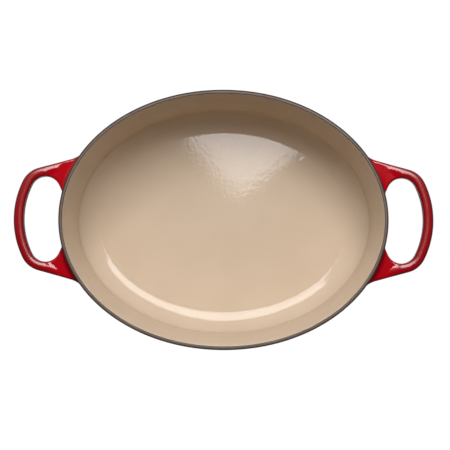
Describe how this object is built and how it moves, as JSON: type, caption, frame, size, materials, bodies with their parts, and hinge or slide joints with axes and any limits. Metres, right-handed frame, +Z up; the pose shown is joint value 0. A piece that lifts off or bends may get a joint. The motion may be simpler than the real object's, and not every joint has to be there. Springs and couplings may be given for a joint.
{
  "type": "oval casserole dish",
  "caption": "Open oval casserole dish of enamelled cast iron, with drafted walls, a rounded floor edge, a dark rim that seats a lid, a low foot and a loop handle at each end.",
  "frame": {"origin": "on the table, under the middle of the foot", "axes": "+X along the dish, from the left handle to the right one; +Y across it; +Z up, out of the open mouth"},
  "size_m": [0.3716, 0.2284, 0.118],
  "materials": {
    "cast_iron": "sand-cast grey iron, under enamel all over",
    "sand_enamel": "glossy sand-coloured vitreous enamel with a slight orange peel",
    "rim_enamel": "thin satin dark ground coat left bare on the rim",
    "red_enamel": "deep glossy red vitreous enamel, thinner and darker at the edges"
  },
  "bodies": {
    "root": {"pot_casting": "cast_iron", "left_handle_casting": "cast_iron", "right_handle_casting": "cast_iron", "interior_enamel": "sand_enamel", "rim_enamel": "rim_enamel", "exterior_enamel": "red_enamel", "base_enamel": "red_enamel", "left_handle_enamel": "red_enamel", "right_handle_enamel": "red_enamel"}
  },
  "joints": []
}
